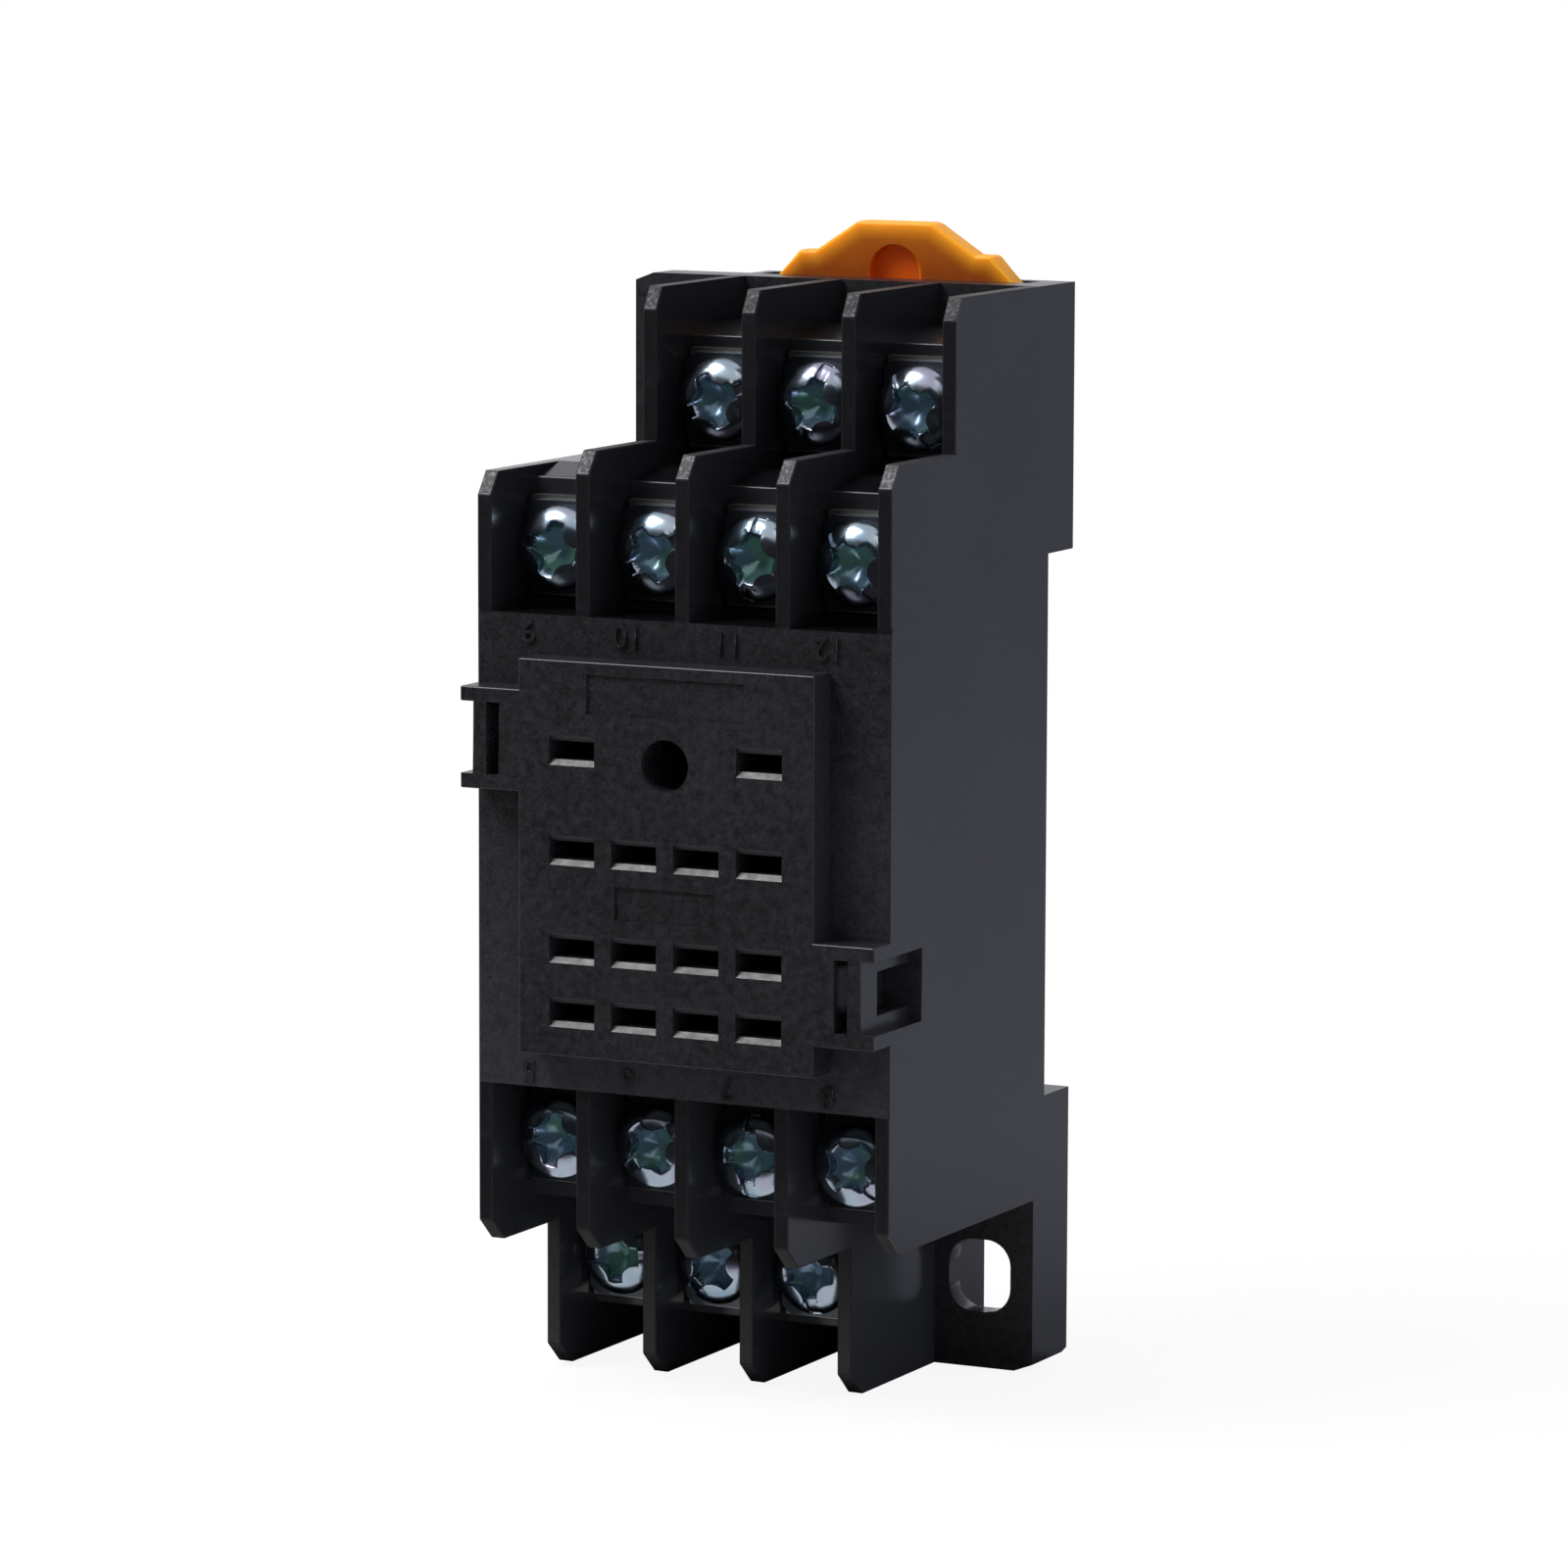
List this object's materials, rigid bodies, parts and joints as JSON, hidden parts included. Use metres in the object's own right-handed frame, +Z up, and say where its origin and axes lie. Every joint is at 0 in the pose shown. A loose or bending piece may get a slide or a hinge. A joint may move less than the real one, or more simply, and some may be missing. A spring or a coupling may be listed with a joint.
{
  "type": "relay socket",
  "caption": "Black moulded screw-terminal socket for a plug-in relay, with stepped terminal bays, a slotted pin plate, and an orange sliding clip for a mounting rail.",
  "frame": {"origin": "on the rear mounting plane, in the middle of the width, at the centre line of the mounting rail", "axes": "+Z up along the body, +X to the right seen from the front, the front with the pin plate faces -Y"},
  "size_m": [0.0292, 0.0292, 0.0744],
  "materials": {
    "housing_plastic": "fine moulded texture",
    "base_plastic": "fine moulded texture",
    "clip_plastic": "satin",
    "tinned_contact": "bright tin plate",
    "plated_washer": "zinc plate",
    "plated_screw": "bright zinc plate, blue passivated"
  },
  "bodies": {
    "socket": {"housing": "housing_plastic", "base": "base_plastic", "contact_1": "tinned_contact", "contact_2": "tinned_contact", "contact_3": "tinned_contact", "contact_4": "tinned_contact", "contact_5": "tinned_contact", "contact_6": "tinned_contact", "contact_7": "tinned_contact", "contact_8": "tinned_contact", "contact_9": "tinned_contact", "contact_10": "tinned_contact", "contact_11": "tinned_contact", "contact_12": "tinned_contact", "contact_13": "tinned_contact", "contact_14": "tinned_contact"},
    "clip": {"rail_clip": "clip_plastic"},
    "washer_1": {"clamp_washer_1": "plated_washer"},
    "screw_1": {"terminal_screw_1": "plated_screw"},
    "washer_2": {"clamp_washer_2": "plated_washer"},
    "screw_2": {"terminal_screw_2": "plated_screw"},
    "washer_3": {"clamp_washer_3": "plated_washer"},
    "screw_3": {"terminal_screw_3": "plated_screw"},
    "washer_4": {"clamp_washer_4": "plated_washer"},
    "screw_4": {"terminal_screw_4": "plated_screw"},
    "washer_5": {"clamp_washer_5": "plated_washer"},
    "screw_5": {"terminal_screw_5": "plated_screw"},
    "washer_6": {"clamp_washer_6": "plated_washer"},
    "screw_6": {"terminal_screw_6": "plated_screw"},
    "washer_7": {"clamp_washer_7": "plated_washer"},
    "screw_7": {"terminal_screw_7": "plated_screw"},
    "washer_8": {"clamp_washer_8": "plated_washer"},
    "screw_8": {"terminal_screw_8": "plated_screw"},
    "washer_9": {"clamp_washer_9": "plated_washer"},
    "screw_9": {"terminal_screw_9": "plated_screw"},
    "washer_10": {"clamp_washer_10": "plated_washer"},
    "screw_10": {"terminal_screw_10": "plated_screw"},
    "washer_11": {"clamp_washer_11": "plated_washer"},
    "screw_11": {"terminal_screw_11": "plated_screw"},
    "washer_12": {"clamp_washer_12": "plated_washer"},
    "screw_12": {"terminal_screw_12": "plated_screw"},
    "washer_13": {"clamp_washer_13": "plated_washer"},
    "screw_13": {"terminal_screw_13": "plated_screw"},
    "washer_14": {"clamp_washer_14": "plated_washer"},
    "screw_14": {"terminal_screw_14": "plated_screw"}
  },
  "joints": [
    {"name": "clip_slide", "type": "slide", "parent": "socket", "child": "clip", "axis": [0, 0, 1], "range_m": [0, 0.003], "stiffness_N_per_m": 1200},
    {"name": "washer_slide_1", "type": "slide", "parent": "socket", "child": "washer_1", "axis": [0, -1, 0], "range_m": [0, 0.002]},
    {"name": "screw_turn_1", "type": "hinge", "parent": "washer_1", "child": "screw_1", "pos_m": [-0.00352, -0.0143, 0.0277], "axis": [0, -1, 0], "range_deg": [0, 1440]},
    {"name": "washer_slide_2", "type": "slide", "parent": "socket", "child": "washer_2", "axis": [0, -1, 0], "range_m": [0, 0.002]},
    {"name": "screw_turn_2", "type": "hinge", "parent": "washer_2", "child": "screw_2", "pos_m": [0.00352, -0.0143, 0.0277], "axis": [0, -1, 0], "range_deg": [0, 1440]},
    {"name": "washer_slide_3", "type": "slide", "parent": "socket", "child": "washer_3", "axis": [0, -1, 0], "range_m": [0, 0.002]},
    {"name": "screw_turn_3", "type": "hinge", "parent": "washer_3", "child": "screw_3", "pos_m": [0.01057, -0.0143, 0.0277], "axis": [0, -1, 0], "range_deg": [0, 1440]},
    {"name": "washer_slide_4", "type": "slide", "parent": "socket", "child": "washer_4", "axis": [0, -1, 0], "range_m": [0, 0.002]},
    {"name": "screw_turn_4", "type": "hinge", "parent": "washer_4", "child": "screw_4", "pos_m": [-0.01057, -0.0228, 0.0186], "axis": [0, -1, 0], "range_deg": [0, 1440]},
    {"name": "washer_slide_5", "type": "slide", "parent": "socket", "child": "washer_5", "axis": [0, -1, 0], "range_m": [0, 0.002]},
    {"name": "screw_turn_5", "type": "hinge", "parent": "washer_5", "child": "screw_5", "pos_m": [-0.00352, -0.0228, 0.0186], "axis": [0, -1, 0], "range_deg": [0, 1440]},
    {"name": "washer_slide_6", "type": "slide", "parent": "socket", "child": "washer_6", "axis": [0, -1, 0], "range_m": [0, 0.002]},
    {"name": "screw_turn_6", "type": "hinge", "parent": "washer_6", "child": "screw_6", "pos_m": [0.00352, -0.0228, 0.0186], "axis": [0, -1, 0], "range_deg": [0, 1440]},
    {"name": "washer_slide_7", "type": "slide", "parent": "socket", "child": "washer_7", "axis": [0, -1, 0], "range_m": [0, 0.002]},
    {"name": "screw_turn_7", "type": "hinge", "parent": "washer_7", "child": "screw_7", "pos_m": [0.01057, -0.0228, 0.0186], "axis": [0, -1, 0], "range_deg": [0, 1440]},
    {"name": "washer_slide_8", "type": "slide", "parent": "socket", "child": "washer_8", "axis": [0, -1, 0], "range_m": [0, 0.002]},
    {"name": "screw_turn_8", "type": "hinge", "parent": "washer_8", "child": "screw_8", "pos_m": [-0.01057, -0.0228, -0.0194], "axis": [0, -1, 0], "range_deg": [0, 1440]},
    {"name": "washer_slide_9", "type": "slide", "parent": "socket", "child": "washer_9", "axis": [0, -1, 0], "range_m": [0, 0.002]},
    {"name": "screw_turn_9", "type": "hinge", "parent": "washer_9", "child": "screw_9", "pos_m": [-0.00352, -0.0228, -0.0194], "axis": [0, -1, 0], "range_deg": [0, 1440]},
    {"name": "washer_slide_10", "type": "slide", "parent": "socket", "child": "washer_10", "axis": [0, -1, 0], "range_m": [0, 0.002]},
    {"name": "screw_turn_10", "type": "hinge", "parent": "washer_10", "child": "screw_10", "pos_m": [0.00352, -0.0228, -0.0194], "axis": [0, -1, 0], "range_deg": [0, 1440]},
    {"name": "washer_slide_11", "type": "slide", "parent": "socket", "child": "washer_11", "axis": [0, -1, 0], "range_m": [0, 0.002]},
    {"name": "screw_turn_11", "type": "hinge", "parent": "washer_11", "child": "screw_11", "pos_m": [0.01057, -0.0228, -0.0194], "axis": [0, -1, 0], "range_deg": [0, 1440]},
    {"name": "washer_slide_12", "type": "slide", "parent": "socket", "child": "washer_12", "axis": [0, -1, 0], "range_m": [0, 0.002]},
    {"name": "screw_turn_12", "type": "hinge", "parent": "washer_12", "child": "screw_12", "pos_m": [-0.01057, -0.0143, -0.0285], "axis": [0, -1, 0], "range_deg": [0, 1440]},
    {"name": "washer_slide_13", "type": "slide", "parent": "socket", "child": "washer_13", "axis": [0, -1, 0], "range_m": [0, 0.002]},
    {"name": "screw_turn_13", "type": "hinge", "parent": "washer_13", "child": "screw_13", "pos_m": [-0.00352, -0.0143, -0.0285], "axis": [0, -1, 0], "range_deg": [0, 1440]},
    {"name": "washer_slide_14", "type": "slide", "parent": "socket", "child": "washer_14", "axis": [0, -1, 0], "range_m": [0, 0.002]},
    {"name": "screw_turn_14", "type": "hinge", "parent": "washer_14", "child": "screw_14", "pos_m": [0.00352, -0.0143, -0.0285], "axis": [0, -1, 0], "range_deg": [0, 1440]}
  ],
  "couplings": [
    {"joint": "screw_turn_1", "follows": "washer_slide_1", "rad_per_m": 12566},
    {"joint": "screw_turn_2", "follows": "washer_slide_2", "rad_per_m": 12566},
    {"joint": "screw_turn_3", "follows": "washer_slide_3", "rad_per_m": 12566},
    {"joint": "screw_turn_4", "follows": "washer_slide_4", "rad_per_m": 12566},
    {"joint": "screw_turn_5", "follows": "washer_slide_5", "rad_per_m": 12566},
    {"joint": "screw_turn_6", "follows": "washer_slide_6", "rad_per_m": 12566},
    {"joint": "screw_turn_7", "follows": "washer_slide_7", "rad_per_m": 12566},
    {"joint": "screw_turn_8", "follows": "washer_slide_8", "rad_per_m": 12566},
    {"joint": "screw_turn_9", "follows": "washer_slide_9", "rad_per_m": 12566},
    {"joint": "screw_turn_10", "follows": "washer_slide_10", "rad_per_m": 12566},
    {"joint": "screw_turn_11", "follows": "washer_slide_11", "rad_per_m": 12566},
    {"joint": "screw_turn_12", "follows": "washer_slide_12", "rad_per_m": 12566},
    {"joint": "screw_turn_13", "follows": "washer_slide_13", "rad_per_m": 12566},
    {"joint": "screw_turn_14", "follows": "washer_slide_14", "rad_per_m": 12566}
  ]
}
